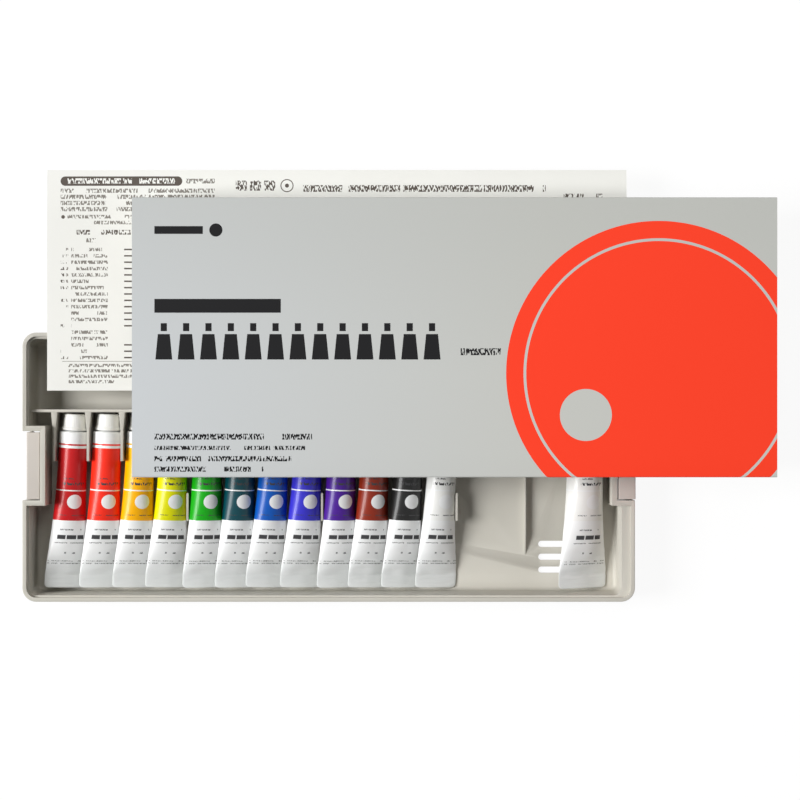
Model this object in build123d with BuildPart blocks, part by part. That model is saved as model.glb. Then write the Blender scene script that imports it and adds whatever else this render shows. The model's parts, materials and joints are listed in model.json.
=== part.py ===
from build123d import *
from math import atan2, cos, hypot, pi, radians, sin, tan
import os

# Gouache paint set: a moulded case tray with thirteen tubes of paint, the leaflet laid over
# its rear half, and the printed card sleeve, with the case's lid in it, laid over both.
# Millimetres. The origin is the centre of the tray's underside, +Y points to its rear edge.

# ---- case tray ----
case_length = 364.0  # along X
case_width = 160.0  # along Y
case_height = 26.0
case_corner = 8.3  # outer corner radius in plan
floor_thickness = 1.5
rim_width = 2.4  # flat top of the wall
ledge_depth = 2.4  # the lid's skirt drops onto this ledge, below the rim
ledge_width = 1.2
wall_taper = 3.4  # degrees of draft on the inner faces
base_round = 2.5  # rounding where the walls meet the floor
foot_round = 1.6  # rounding of the lower outer edge
rim_round = 0.5
right_step = 4.0  # extra thickness of the right-hand wall

# ---- tubes ----
small_count = 12
tube_radius = 8.6
tube_length = 93.6  # shoulder to the end of the crimp
tube_spacing_gap = 3.0  # between the barrels of two small tubes
tube_leans = (3.3, 2.8, 3.0, 3.4, 1.8, 2.4, 3.6, 3.3, 2.0, 3.1, 3.2, 3.1)  # degrees to the left
small_roll = 24.0  # the left edge of each small tube's crimp is turned up by this
big_radius = 10.7
big_lean = 1.2
big_roll = 28.0
foil = 0.3  # wall of the tube
press = 3.0  # how late the barrel flattens: 1 is a plain wedge
girth_power = 1.68  # of the height, in the width of a pressed tube whose girth stays
barrel_steps = 6
flat_share = 0.92  # the barrel is pressed flat at this share of its length
crimp_thickness = 1.4
crimp_corner = 2.6
shoulder_rise = 1.2
shoulder_land = 0.6  # top of the shoulder beyond the neck
neck_radius = 4.0
neck_length = 6.5
nozzle_radius = 1.8
paint_gap = 0.1  # between the paint and the foil
rest_gap = 0.12  # between a tube and the tray's floor

# ---- caps ----
cap_length = 9.8
cap_radius = 7.5
cap_top_radius = 6.35
big_cap_radius = 8.6
big_cap_top_radius = 7.5
cap_seat_gap = 0.3  # cap above shoulder
cap_fit = 0.06  # radial running clearance on the neck
cap_roof = 2.0
cap_round = 0.8

# ---- comb that holds the caps ----
comb_height = 20.0  # top of the comb above the table
comb_wall = 1.6
rib_sink = 0.5  # how far the ribs run into the walls and the floor
comb_clearance = 1.0  # behind the caps
finger_reach = 29.2  # length of a finger, wall to tip
finger_slim = 1.5  # width beside a barrel
finger_root = 3.8  # width at the wall
first_tube_inset = 28.0  # case's left side to the first tube at the comb
big_tube_inset = 28.3  # case's right side to the big tube at the comb
big_finger_gap = 0.7
front_gap = 1.8  # crimps to the front wall at the floor

# ---- ribs and slots in the floor ----
peg_width = 1.3
peg_length = 16.8
peg_height = 13.0
peg_round = 0.6
peg_every = 4  # a peg after every fourth small tube
peg_shift = 1.9  # pegs stand left of the fingers' line, as the tubes lean
peg_setback = 27.8  # comb finger tips to the centre of a peg
fin_width = 1.0
fin_height = 4.5  # above the floor
fin_run = 12.0  # length of its sloping end
fin_inset = 64.0  # case's right side to the fin
fin_front = 26.2  # case's front side to the fin's end
slot_width = 3.8
slot_length = 31.3
slot_pitch = 7.8
slot_count = 3
slot_inset = 40.2  # case's right side to the slots' centre
slot_front = 24.9  # case's front side to the middle slot

# ---- latches ----
pocket_length = 41.2
pocket_depth = 10.5  # from the side of the case
pocket_wall = 3.1
pocket_shift = 0.8  # pockets' middle behind the case's
pocket_skin = 1.0  # the pocket's walls start this far inside the case's side
latch_length = 39.8
latch_leans = {"latch_left": 4.8, "latch_right": -3.0}  # degrees inwards, as they stand loose
latch_plate = 1.8
latch_top = 2.0  # thickness of the hooked top
latch_reach = 7.8  # depth of the hooked top
latch_lip = 1.9
latch_round = 0.6
latch_drop = 0.8  # latch's top below the rim
latch_inset = 0.6  # latch's face inside the case's side
pin_radius = 1.1
pin_height = 4.0
pin_inset = 1.8  # pin's axis inside the case's side
pin_bite = 1.6  # how far each end of the pin enters the pocket's end wall
pin_end_gap = 0.15
pin_fit = 0.06  # radial running clearance
knuckle_radius = 1.8

# ---- lid, stored in the sleeve ----
lid_height = 6.0
lid_plate = 1.5
lid_wall = 2.0
lid_round = 0.9
skirt_height = 2.0
skirt_clearance = 0.2
catch_length = 38.0
catch_size = 1.6

# ---- leaflet ----
leaflet_length = 344.0
leaflet_width = 131.0
leaflet_thickness = 0.6
leaflet_right = 4.9  # leaflet's centre right of the tray's
leaflet_overhang = 96.5  # leaflet's rear edge beyond the case's rear side

# ---- sleeve ----
card = 0.6
sleeve_end = 4.25  # sleeve beyond the case at each end
sleeve_slack = 0.25  # beside the case, each side
sleeve_headroom = 1.0  # above the closed case
sleeve_fold = 0.9  # outer radius of the folds
sleeve_right = 73.9  # sleeve's centre right of the tray's
sleeve_rear = 76.1  # sleeve's centre behind the tray's

# ---- worked out from the above ----
half_length = case_length / 2
half_width = case_width / 2
wall_top = rim_width + ledge_width
ledge_z = case_height - ledge_depth
wall_base = wall_top + (ledge_z - floor_thickness) * tan(radians(wall_taper))
crimp_y = -half_width + wall_base + front_gap
shoulder_y = crimp_y + tube_length
comb_y = shoulder_y + shoulder_rise + cap_seat_gap + cap_length + comb_clearance  # front of its wall
finger_tip_y = comb_y - finger_reach
pitch = 2 * tube_radius + tube_spacing_gap
pivot_y = (finger_tip_y + shoulder_y) / 2  # the tubes lean about the middle of the fingers
first_x = -half_length + first_tube_inset
big_x = half_length - big_tube_inset
leaflet_z = case_height
sleeve_z = leaflet_z + leaflet_thickness
sleeve_length = case_length + 2 * sleeve_end
sleeve_width = case_width + 2 * (sleeve_slack + card)
sleeve_height = case_height + lid_height + sleeve_headroom + 2 * card
pocket_x = half_length - pocket_depth
pin_x = half_length - pin_inset

barrel_shares = [step / barrel_steps for step in range(barrel_steps + 1)]

os.makedirs("parts", exist_ok=True)


def write(piece, name):
    """Label a finished piece and write its file."""
    piece.label = name
    export_step(piece, f"parts/{name}.step")


def flattened(radius, height):
    """Half width of a tube that is pressed down to half height, its girth kept."""
    return radius * (pi / 2 - (pi / 2 - 1) * (height / radius) ** girth_power)


def pressed(radius, share):
    """Half height of the barrel at a share of its run from the shoulder to the crimp."""
    return radius + (crimp_thickness / 2 - radius) * share**press


def tube_plane(x, radius, lean, roll):
    """Plane on a tube's shoulder: Z runs to the cap, X along the width of the crimp."""
    crimp_half = pi * radius / 2
    fold_half = crimp_thickness / 2
    low = floor_thickness + rest_gap
    crimp_z = low + crimp_half * sin(radians(roll)) + fold_half * cos(radians(roll))
    shoulder_z = low + radius
    for share in barrel_shares[:-1]:  # the belly may hold the shoulder off the floor
        half_high = pressed(radius, share)
        half_wide = flattened(radius, half_high)
        belly = hypot(half_wide * sin(radians(roll)), half_high * cos(radians(roll)))
        run = share * flat_share
        shoulder_z = max(shoulder_z, (low + belly - run * crimp_z) / (1 - run))
    rise = atan2(shoulder_z - crimp_z, tube_length)
    turn = radians(lean)
    axis = Vector(sin(turn) * cos(rise), cos(turn) * cos(rise), sin(rise))
    across = Vector(cos(turn), -sin(turn), 0)
    upward = across.cross(axis)
    width_dir = across * cos(radians(roll)) - upward * sin(radians(roll))
    shoulder_x = x + (shoulder_y - pivot_y) * tan(turn)
    return Plane(origin=(shoulder_x, shoulder_y, shoulder_z), x_dir=width_dir, z_dir=axis)


def barrel(plane, radius, inset, end_gap=0.0):
    """Barrel from shoulder to crimp, round at first and pressed flat, its girth kept."""
    length = flat_share * tube_length - 2 * end_gap
    with BuildPart() as body:
        for share in barrel_shares:
            half_high = pressed(radius, share)
            half_wide = flattened(radius, half_high)
            with BuildSketch(plane.offset(-end_gap - share * length)):
                if share:
                    Ellipse(half_wide - inset, half_high - inset)
                else:
                    Circle(radius - inset)
        loft()
    return body.part


def make_tube(name, plane, radius):
    """Foil tube: barrel, crimp, shoulder and plain neck, hollow to the end of its nozzle."""
    outside = barrel(plane, radius, 0)
    inside = barrel(plane, radius, foil)
    flat = Plane(origin=plane.origin, x_dir=plane.x_dir, z_dir=plane.y_dir)
    crimp_length = (1 - flat_share) * tube_length
    with BuildPart() as tube:
        add(outside)
        with BuildSketch(flat):
            with Locations((0, tube_length - crimp_length / 2)):
                Rectangle(pi * radius, crimp_length)
            fillet(vertices().sort_by(Axis.Y)[-2:], crimp_corner)
        extrude(amount=crimp_thickness / 2, both=True)
        with BuildSketch(plane):
            Circle(radius)
        with BuildSketch(plane.offset(shoulder_rise)):
            Circle(neck_radius + shoulder_land)
        loft()
        with BuildSketch(plane.offset(shoulder_rise)):
            Circle(neck_radius)
        extrude(amount=neck_length)
        add(inside, mode=Mode.SUBTRACT)
        with BuildSketch(plane):
            Circle(nozzle_radius)
        extrude(amount=shoulder_rise + neck_length, mode=Mode.SUBTRACT)
    write(tube.part, name)


def make_paint(name, plane, radius):
    """Paint that fills a tube."""
    write(barrel(plane, radius, foil + paint_gap, end_gap=paint_gap), name)


def make_cap(name, plane, radius, top_radius):
    """Tapered screw cap, bored for the tube's neck."""
    base = plane.offset(shoulder_rise + cap_seat_gap)
    with BuildPart() as cap:
        with BuildSketch(base):
            Circle(radius)
        with BuildSketch(base.offset(cap_length)):
            Circle(top_radius)
        loft()
        fillet(cap.edges().group_by(Axis(base.origin, base.z_dir))[-1], cap_round)
        with BuildSketch(base):
            Circle(neck_radius + cap_fit)
        extrude(amount=cap_length - cap_roof, mode=Mode.SUBTRACT)
    write(cap.part, name)


tube_places = []
for number, lean in enumerate(tube_leans[:small_count], start=1):
    place = tube_plane(first_x + (number - 1) * pitch, tube_radius, lean, small_roll)
    make_tube(f"tube_{number:02d}", place, tube_radius)
    make_paint(f"paint_{number:02d}", place, tube_radius)
    make_cap(f"cap_{number:02d}", place, cap_radius, cap_top_radius)
place = tube_plane(big_x, big_radius, big_lean, big_roll)
make_tube("tube_13", place, big_radius)
make_paint("paint_13", place, big_radius)
make_cap("cap_13", place, big_cap_radius, big_cap_top_radius)


finger_left = first_x - pitch / 2
finger_count = small_count + 1
big_finger_half = big_radius + big_finger_gap + finger_slim / 2
finger_xs = [finger_left + number * pitch for number in range(finger_count)]
finger_xs += [big_x - big_finger_half, big_x + big_finger_half]

with BuildPart() as tray:
    # outer block, foot and rim
    with BuildSketch():
        RectangleRounded(case_length, case_width, case_corner)
    extrude(amount=case_height)
    fillet(tray.edges().group_by(Axis.Z)[0], foot_round)
    fillet(tray.edges().group_by(Axis.Z)[-1], rim_round)
    # seat for the lid's skirt, then the main hollow with its draft
    with BuildSketch(Plane.XY.offset(ledge_z)):
        RectangleRounded(
            case_length - 2 * rim_width, case_width - 2 * rim_width, case_corner - rim_width
        )
    extrude(amount=ledge_depth, mode=Mode.SUBTRACT)
    with BuildSketch(Plane.XY.offset(ledge_z)):
        with Locations((-right_step / 2, 0)):
            RectangleRounded(
                case_length - 2 * wall_top - right_step,
                case_width - 2 * wall_top,
                case_corner - wall_top,
            )
    extrude(amount=floor_thickness - ledge_z, taper=wall_taper, mode=Mode.SUBTRACT)
    floor_face = tray.faces().filter_by(Axis.Z).sort_by(Axis.Z)[1]
    fillet(floor_face.outer_wire().edges(), base_round)
    # pocket walls for the two latches
    block_depth = pocket_depth - pocket_skin + pocket_wall
    for side in (-1, 1):
        with BuildSketch():
            with Locations((side * (half_length - pocket_skin - block_depth / 2), pocket_shift)):
                Rectangle(block_depth, pocket_length + 2 * pocket_wall)
        extrude(amount=case_height)
        with BuildSketch():
            with Locations((side * half_length, pocket_shift)):
                Rectangle(2 * pocket_depth, pocket_length)
        extrude(amount=case_height, mode=Mode.SUBTRACT)
        with BuildSketch(Plane.XZ.offset(-pocket_shift)):
            with Locations((side * pin_x, pin_height)):
                Circle(pin_radius + pin_fit)
        extrude(amount=pocket_length / 2 + pin_bite, both=True, mode=Mode.SUBTRACT)
    # comb: a wall with slim fingers that part the caps and the barrels
    with BuildSketch(Plane.XY.offset(floor_thickness)):
        with Locations((-right_step / 2, comb_y + comb_wall / 2)):
            Rectangle(case_length - 2 * wall_base - right_step + 2 * rib_sink, comb_wall)
    extrude(amount=comb_height - floor_thickness)
    with BuildSketch(Plane.XY.offset(floor_thickness)):
        for x in finger_xs:
            with BuildLine():
                Polyline(
                    (x - finger_root / 2, comb_y + comb_wall / 2),
                    (x - finger_slim / 2, shoulder_y + shoulder_rise),
                    (x - finger_slim / 2, finger_tip_y),
                    (x + finger_slim / 2, finger_tip_y),
                    (x + finger_slim / 2, shoulder_y + shoulder_rise),
                    (x + finger_root / 2, comb_y + comb_wall / 2),
                    close=True,
                )
            make_face()
    extrude(amount=comb_height - floor_thickness)
    # pegs between the barrels
    peg_y = finger_tip_y - peg_setback
    with BuildSketch(Plane.XY.offset(floor_thickness)):
        for number in range(peg_every, finger_count, peg_every):
            with Locations((finger_xs[number] - peg_shift, peg_y)):
                RectangleRounded(peg_width, peg_length, peg_round)
    extrude(amount=peg_height - floor_thickness)
    # low fin with a sloping end, and the slots under the big tube
    fin_x = half_length - fin_inset
    fin_end = fin_front - half_width
    with BuildSketch(Plane.YZ.offset(fin_x - fin_width / 2)):
        with BuildLine():
            Polyline(
                (comb_y + comb_wall / 2, floor_thickness - rib_sink),
                (comb_y + comb_wall / 2, floor_thickness + fin_height),
                (fin_end + fin_run, floor_thickness + fin_height),
                (fin_end, floor_thickness),
                (fin_end, floor_thickness - rib_sink),
                close=True,
            )
        make_face()
    extrude(amount=fin_width)
    with BuildSketch():
        with Locations((half_length - slot_inset, slot_front - half_width)):
            with GridLocations(0, slot_pitch, 1, slot_count):
                SlotOverall(slot_length, slot_width)
    extrude(amount=2 * floor_thickness, mode=Mode.SUBTRACT)
write(tray.part, "tray")


def make_latch(name, side):
    """Snap latch on a pin across its pocket, its hooked top turned inwards."""
    middle = Plane.XZ.offset(-pocket_shift)
    top_z = case_height - latch_drop
    face_x = half_length - latch_inset
    with BuildPart() as latch:
        with BuildSketch(middle):
            with BuildLine():
                Polyline(
                    (side * face_x, pin_height),
                    (side * face_x, top_z),
                    (side * (face_x - latch_reach), top_z),
                    (side * (face_x - latch_reach), top_z - latch_top - latch_lip),
                    (side * (face_x - latch_reach + latch_top / 2), top_z - latch_top - latch_lip),
                    (side * (face_x - latch_reach + latch_top), top_z - latch_top),
                    (side * (face_x - latch_plate), top_z - latch_top),
                    (side * (face_x - latch_plate), pin_height),
                    close=True,
                )
            make_face()
        extrude(amount=latch_length / 2, both=True)
        top_edges = latch.edges().filter_by(Axis.Y).group_by(Axis.Z)[-1]
        fillet(top_edges, latch_round)
        with BuildSketch(middle):
            with Locations((side * pin_x, pin_height)):
                Circle(knuckle_radius)
        extrude(amount=latch_length / 2, both=True)
        with BuildSketch(middle):
            with Locations((side * pin_x, pin_height)):
                Circle(pin_radius)
        extrude(amount=pocket_length / 2 + pin_bite - pin_end_gap, both=True)
    pin_axis = Axis((side * pin_x, 0, pin_height), (0, -side, 0))
    write(latch.part.rotate(pin_axis, latch_leans[name]), name)


make_latch("latch_left", -1)
make_latch("latch_right", 1)

with BuildPart() as leaflet:
    leaflet_y = half_width + leaflet_overhang - leaflet_width / 2
    with BuildSketch(Plane.XY.offset(leaflet_z)):
        with Locations((leaflet_right, leaflet_y)):
            Rectangle(leaflet_length, leaflet_width)
    extrude(amount=leaflet_thickness)
write(leaflet.part, "leaflet")

with BuildPart() as sleeve:
    with BuildSketch(Plane.YZ.offset(sleeve_right - sleeve_length / 2)):
        with Locations((sleeve_rear, sleeve_z + sleeve_height / 2)):
            RectangleRounded(sleeve_width, sleeve_height, sleeve_fold)
            RectangleRounded(
                sleeve_width - 2 * card,
                sleeve_height - 2 * card,
                sleeve_fold - card,
                mode=Mode.SUBTRACT,
            )
    extrude(amount=sleeve_length)
write(sleeve.part, "sleeve")

with BuildPart() as lid:
    lid_base = Plane.XY.offset(sleeve_z + card)
    lid_centre = (sleeve_right, sleeve_rear)
    with BuildSketch(lid_base):
        with Locations(lid_centre):
            RectangleRounded(case_length, case_width, case_corner)
    extrude(amount=lid_height)
    fillet(lid.edges().group_by(Axis.Z)[0], lid_round)
    with BuildSketch(lid_base.offset(lid_plate)):
        with Locations(lid_centre):
            RectangleRounded(
                case_length - 2 * lid_wall, case_width - 2 * lid_wall, case_corner - lid_wall
            )
    extrude(amount=lid_height, mode=Mode.SUBTRACT)
    # skirt that drops inside the tray's rim, cut away at the latches
    skirt_out = rim_width + skirt_clearance
    with BuildSketch(lid_base.offset(lid_plate)):
        with Locations(lid_centre):
            RectangleRounded(
                case_length - 2 * skirt_out, case_width - 2 * skirt_out, case_corner - skirt_out
            )
            RectangleRounded(
                case_length - 2 * skirt_out - 2 * ledge_width,
                case_width - 2 * skirt_out - 2 * ledge_width,
                case_corner - skirt_out - ledge_width,
                mode=Mode.SUBTRACT,
            )
    extrude(amount=lid_height - lid_plate + skirt_height)
    for side in (-1, 1):
        pocket_middle = (sleeve_right + side * half_length, sleeve_rear + pocket_shift)
        with BuildSketch(lid_base):
            with Locations(pocket_middle):
                Rectangle(2 * (pocket_depth + lid_wall), pocket_length + 2 * lid_wall)
        extrude(amount=lid_height)
        with BuildSketch(lid_base):
            with Locations(pocket_middle):
                Rectangle(2 * pocket_depth, pocket_length)
            with Locations((sleeve_right + side * (half_length + pocket_depth), sleeve_rear)):
                Rectangle(2 * pocket_depth, case_width)
        extrude(amount=lid_height + skirt_height, mode=Mode.SUBTRACT)
        # catch that the latch's hook grips
        with BuildSketch(lid_base.offset(lid_height - catch_size)):
            with Locations((sleeve_right + side * (pocket_x + catch_size / 2), pocket_middle[1])):
                Rectangle(catch_size, catch_length)
        extrude(amount=catch_size)
write(lid.part, "lid")
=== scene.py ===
import json
import math

import bmesh
import bpy
import numpy as np
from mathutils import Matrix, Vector


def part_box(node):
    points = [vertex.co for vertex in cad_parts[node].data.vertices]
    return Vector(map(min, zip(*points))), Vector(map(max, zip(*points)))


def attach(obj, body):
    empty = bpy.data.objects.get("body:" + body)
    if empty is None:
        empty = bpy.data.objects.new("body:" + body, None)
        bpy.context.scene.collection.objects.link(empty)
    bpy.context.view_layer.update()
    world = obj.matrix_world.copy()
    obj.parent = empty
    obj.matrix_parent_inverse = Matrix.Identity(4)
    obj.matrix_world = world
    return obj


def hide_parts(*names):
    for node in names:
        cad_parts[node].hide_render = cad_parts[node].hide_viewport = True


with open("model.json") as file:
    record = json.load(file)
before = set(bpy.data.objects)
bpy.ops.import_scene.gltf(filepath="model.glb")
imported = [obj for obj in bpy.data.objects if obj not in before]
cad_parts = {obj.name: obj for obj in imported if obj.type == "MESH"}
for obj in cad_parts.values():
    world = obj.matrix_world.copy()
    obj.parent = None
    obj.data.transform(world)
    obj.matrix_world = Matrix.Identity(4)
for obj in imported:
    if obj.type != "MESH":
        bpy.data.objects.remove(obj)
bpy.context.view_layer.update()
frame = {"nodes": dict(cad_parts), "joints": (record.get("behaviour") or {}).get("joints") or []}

# Gouache paint set: an open case tray of paint tubes, a leaflet over its rear half and a
# printed card sleeve over both. Metres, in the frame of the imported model.

MM = 0.001

# ---- tubes: the figures that shape the foil and the caps, in millimetres ----
SMALL_RADIUS = 8.6
BIG_RADIUS = 10.7
TUBE_LENGTH = 93.6
FLAT_SHARE = 0.92  # the barrel is flat at this share of its length
PRESS = 3.0  # how late it flattens
GIRTH_POWER = 1.68  # keeps the girth of a pressed barrel to 0.2 percent
FOIL = 0.3
FOIL_LEAST = 0.42  # least half height of the pressed foil
FOLD_STEP = 0.25  # the foil sinks by this much before it runs into the crimp
CRIMP_HALF = 0.7
CRIMP_CORNER = 2.6
CORNER_SHARE = 0.98  # how fully the crimp's corners are rounded
END_THIN = 0.6  # the crimp's end is this share as thick
DENTS_FROM = 0.42  # dents begin at this share of the way to where the barrel is flat
DENTS_RUN = 0.5  # and reach their full depth this much further on
DENT_SHARE = 0.9  # that full depth, as a share of the waves' sum
SHOULDER_RISE = 1.2
SHOULDER_LAND = 4.6
NECK_RADIUS = 3.95
NECK_LENGTH = 6.4
NOZZLE_RADIUS = 1.8
SMALL_ROLL = 24.0
BIG_ROLL = 28.0
CAP_SEAT = 0.3
CAP_BORE = 4.06
SMALL_CAP = (7.5, 6.35)  # radius at the base ring and at the top
BIG_CAP = (8.6, 7.5)
FLUTES = 40
FLUTE_DEPTH = 0.07
PAINT_INSET = 1.0
PAINT_SHARE = 0.86  # the paint ends at this share of the tube's length

# ---- moulded pieces: millimetres, and degrees ----
JOIN_WITHIN = 0.002
FLAT_WITHIN = 1.0
SHARP_EDGE = 38.0

# ---- latches, in millimetres from their pins, and degrees ----
FACE_OUT = 1.2  # outer face beyond the pin's axis
HOOK_TIP = 176.5  # the hook's tip is nearer the middle of the case than this
HOOK_REACH = {"left": 0.0, "right": 2.5}
LATCH_LEAN = {"left": 4.8, "right": -3.0}
LATCH_MIDDLE = 0.8  # latches' middle behind the case's
RIBS = 4
RIB_RADIUS = 0.55
RIB_SUNK = 0.2  # axes of the ribs behind the outer face
RIB_LOW = 9.0
RIB_PITCH = 2.2
RIB_HALF = 12.0

# ---- card sleeve and leaflet, in millimetres ----
CARD = 0.6
FOLD = 0.9
SLEEVE_BOW = 0.35
TOP_PANEL = 1.6  # what lies less than this below the sleeve's top bows with it
LEAFLET_HALF = 0.24
FREE_LEFT = 60  # the leaflet comes free over this length to the left of the sleeve
FREE_REAR = 25  # and over this one behind it
REAR_DROOP = 1.2
DROOP_FROM = 85
DROOP_RUN = 92
BLANK_SIDE = 500.0  # moves the leaflet's underside off the print

# ---- camera: straight down over the middle of the set ----
CAMERA_X = 42.4
CAMERA_Y = 39.9
CAMERA_HEIGHT = 1250.0
CAMERA_LENS = 92.73

# ---- lamps: place, the point they face, width and height in millimetres, watts, colour ----
LAMPS = {
    "key_light": ((-2850, 60, 2500), (20, 30, 0), 1500, 1700, 182.0, "FFFFFF"),
    "side_light": ((2700, 60, 1500), (60, 30, 0), 1300, 900, 10.0, "FFFFFF"),
    "rear_light": ((250, 1500, 1900), (60, 40, 0), 1300, 1300, 10.0, "FFFCF6"),
}
SKY_LIGHT = 0.03
FLOOR_LIFT = 0.9  # share of even white in the floor as it is seen
FLOOR_WHITE = 1.03

# ---- grain of the finishes: widths in millimetres ----
FLOW_CLOUD = 55.56
WAX_CLOUD = 11.11
FIBRE_LENGTH = 3.333
FIBRE_WIDTH = 0.7143
PAPER_CLOUD = 50.0
CREASES = 0.55  # creases to the millimetre along the tube
CREASE_DRAW = 0.16  # round the tube they change at this share of that rate, so they lie across

# ---- greyed copy: strokes that stand in for small print ----
LINE_STEP = 17.3  # distance between the parts of the noise that two lines read
STROKE_CLIMB = 0.4  # share of the line's height that the stroke's noise runs over
STROKES_HIGH = 2.2  # strokes to the line's height
STROKES_LEAST = 1.15  # but at least so many to the millimetre
STROKE_LEVEL = 0.47  # ink where the noise is above this

# ---- print on the tubes: millimetres down from the shoulder ----
BAND = (9.0, 52.5)
BAND_RING = (6.4, 7.4)
BAND_RULE = (34.0, 34.7)
BAND_SPOT = (0.5, 41.0, 4.3)  # round the tube, down, and radius
MARK_ROW = (61.3, 63.8)

# ---- print on the sleeve: millimetres from the front left corner of its top ----
RED_MIDDLE = (304.0, 60.0)
RED_RADIUS = 88.0
GROOVE_RADIUS = 78.0
GROOVE_WIDTH = 1.6

# ---- list printed on the leaflet: 18 lines, in millimetres from its front edge ----
LIST_PITCH = 3.775
LIST_LOW = 17.7
LIST_HIGH = LIST_LOW + 18 * LIST_PITCH
RULED_LINES = ((0, 3), (5, 18))  # lines with a rule after them, first and past the last

# ---- paint colours of the tubes, left to right, then the big tube ----
TUBE_COLOURS = {
    "01": "C0181C", "02": "F5301C", "03": "FBB400", "04": "DEDC00", "05": "12A812",
    "06": "00404A", "07": "0B56B4", "08": "3A36C8", "09": "4A1A90", "10": "8C2A14",
    "11": "1A1A1A", "12": "F1F1EE", "13": "F1F1EE",
}


def linear(code):
    """sRGB hex code to a linear RGBA colour: the standard two-part sRGB curve."""
    values = [int(code[i : i + 2], 16) / 255 for i in (0, 2, 4)]
    curve = [c / 12.92 if c <= 0.04045 else ((c + 0.055) / 1.055) ** 2.4 for c in values]
    return (*curve, 1.0)


# ------------------------------------------------------------------ materials


def add(tree, kind, inputs=None, **settings):
    """Add one node: settings are its properties, inputs take a value or a node's output."""
    made = tree.nodes.new(kind)
    for name, value in settings.items():
        setattr(made, name, value)
    for key, value in (inputs or {}).items():
        if isinstance(value, bpy.types.NodeSocket):
            tree.links.new(value, made.inputs[key])
        else:
            made.inputs[key].default_value = value
    return made


def surface(name, shader_inputs):
    """A material with one Principled shader wired to its output; returns it and the shader."""
    material = bpy.data.materials.new(name)
    material.use_nodes = True
    tree = material.node_tree
    tree.nodes.clear()
    shader = add(tree, "ShaderNodeBsdfPrincipled", shader_inputs)
    add(tree, "ShaderNodeOutputMaterial", {"Surface": shader.outputs[0]})
    return material, shader


def connect(tree, output, shader, socket):
    """Link an output to a socket of the shader."""
    tree.links.new(output, shader.inputs[socket])


def over(tree, mask, top, below):
    """Colour of ink laid over a ground: top where mask is 1, below where it is 0."""
    return add(
        tree, "ShaderNodeMix", {0: mask, 6: below, 7: top}, data_type="RGBA"
    ).outputs[2]


def joined(tree, how, first, *others):
    """Masks joined one after another: MAXIMUM for any of them, MULTIPLY for where all of them
    are, SUBTRACT to cut the others out of the first."""
    for other in others:
        first = add(
            tree, "ShaderNodeMath", {0: first, 1: other}, operation=how, use_clamp=True
        ).outputs[0]
    return first


def bar(tree, across, along, left, right, low, high):
    """Mask of an upright rectangle: both coordinates within half its size of its middle."""
    wide = add(
        tree, "ShaderNodeMath",
        {0: across, 1: (left + right) / 2, 2: (right - left) / 2}, operation="COMPARE",
    )
    tall = add(
        tree, "ShaderNodeMath",
        {0: along, 1: (low + high) / 2, 2: (high - low) / 2}, operation="COMPARE",
    )
    return joined(tree, "MULTIPLY", wide.outputs[0], tall.outputs[0])


def disc(tree, place, across, along, radius):
    """Mask of a round spot: distance from its centre below its radius."""
    reach = add(
        tree, "ShaderNodeVectorMath", {0: place, 1: (across, along, 0)}, operation="DISTANCE"
    )
    return add(
        tree, "ShaderNodeMath", {0: reach.outputs["Value"], 1: radius}, operation="LESS_THAN"
    ).outputs[0]


def stripes(tree, along, low, pitch, height):
    """Level stripes of a given height, one to each pitch counted from low: the stripe's number
    and its mask, from the whole part and the rest of the distance over the pitch."""
    row = add(
        tree, "ShaderNodeMath", {0: along, 1: 1 / pitch, 2: -low / pitch}, operation="MULTIPLY_ADD"
    ).outputs[0]
    step = add(tree, "ShaderNodeMath", {0: row}, operation="FLOOR").outputs[0]
    part = add(tree, "ShaderNodeMath", {0: row}, operation="FRACT").outputs[0]
    mask = add(
        tree, "ShaderNodeMath", {0: part, 1: 0.5, 2: height / pitch / 2}, operation="COMPARE"
    ).outputs[0]
    return step, mask


def greeked(tree, across, along, box, pitch, height, word, fill, seed):
    """Mask of lines of greyed copy in a box (left, right, low, high): stripes from its low side,
    broken into words by a coarse noise along each line and into strokes by a fine noise drawn
    out along the line's height, about two strokes to that height but none over 1 mm wide."""
    left, right, low, high = box
    inside = bar(tree, across, along, left, right, low, high)
    step, stripe = stripes(tree, along, low, pitch, height)
    shift = add(
        tree, "ShaderNodeMath", {0: step, 1: LINE_STEP, 2: seed + low}, operation="MULTIPLY_ADD"
    ).outputs[0]
    climb = add(
        tree, "ShaderNodeMath", {0: along, 1: STROKE_CLIMB, 2: shift}, operation="MULTIPLY_ADD"
    ).outputs[0]
    strokes = max(STROKES_HIGH / height, STROKES_LEAST)
    mask = joined(tree, "MULTIPLY", inside, stripe)
    for down, scale, level in ((shift, 1 / word, fill), (climb, strokes, STROKE_LEVEL)):
        spot = add(tree, "ShaderNodeCombineXYZ", {0: across, 1: down})
        noise = add(
            tree, "ShaderNodeTexNoise",
            {"Vector": spot.outputs[0], "Scale": scale, "Detail": 0.0},
            noise_dimensions="2D",
        )
        inked = add(
            tree, "ShaderNodeMath", {0: noise.outputs[0], 1: level}, operation="GREATER_THAN"
        )
        mask = joined(tree, "MULTIPLY", mask, inked.outputs[0])
    return mask


def uv_places(tree, layer):
    """A named UV layer as a vector and its two coordinates, in millimetres."""
    place = add(tree, "ShaderNodeUVMap", uv_map=layer).outputs[0]
    split = add(tree, "ShaderNodeSeparateXYZ", {0: place})
    return place, split.outputs[0], split.outputs[1]


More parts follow.
